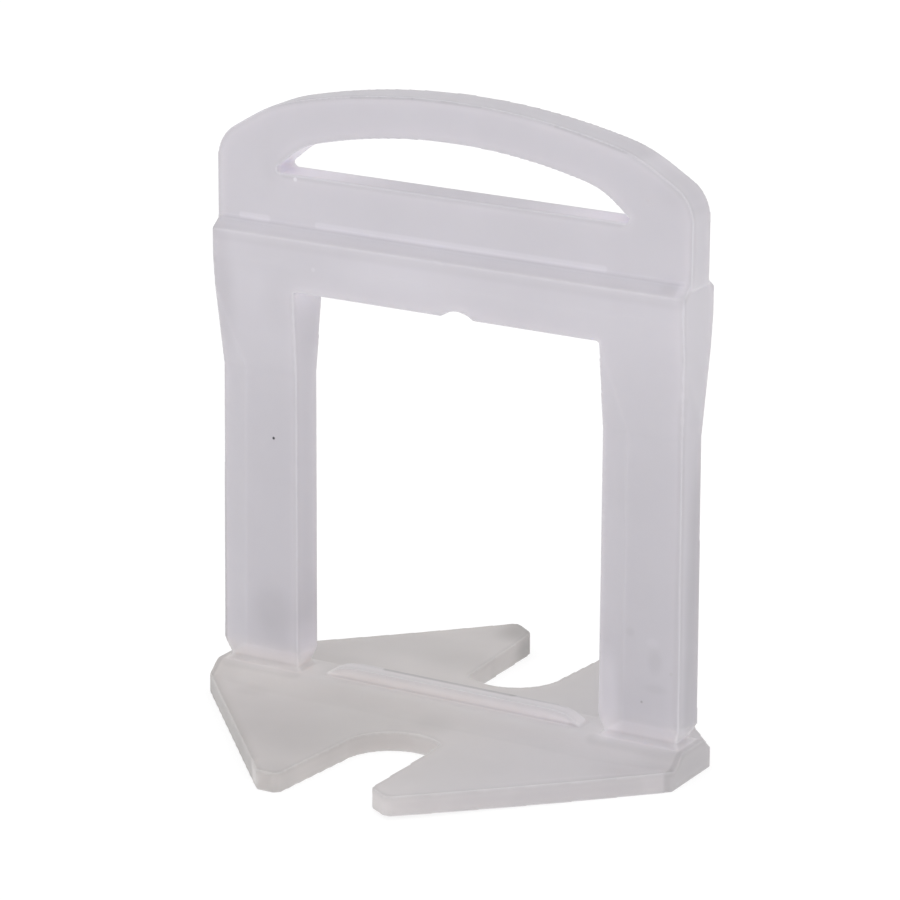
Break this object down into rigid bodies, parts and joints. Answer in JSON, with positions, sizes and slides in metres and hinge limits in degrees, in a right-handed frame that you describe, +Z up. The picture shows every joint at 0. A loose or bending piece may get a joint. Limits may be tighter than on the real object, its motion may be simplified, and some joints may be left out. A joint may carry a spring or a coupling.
{
  "type": "tile levelling clip",
  "caption": "One-piece plastic tile levelling clip: slotted diamond base, two break-off legs, a crossbar over the wedge window and an arched finger-slot handle.",
  "frame": {"origin": "middle of the base plate's underside, which lies on the tile bed", "axes": "+Z up through the legs to the handle, X across the clip from leg to leg, -Y the side that faces the viewer"},
  "size_m": [0.0388, 0.0362, 0.0469],
  "materials": {
    "natural_polypropylene": "half matt, milky, unpigmented moulded polypropylene"
  },
  "bodies": {
    "root": {"levelling_clip": "natural_polypropylene"}
  },
  "joints": []
}
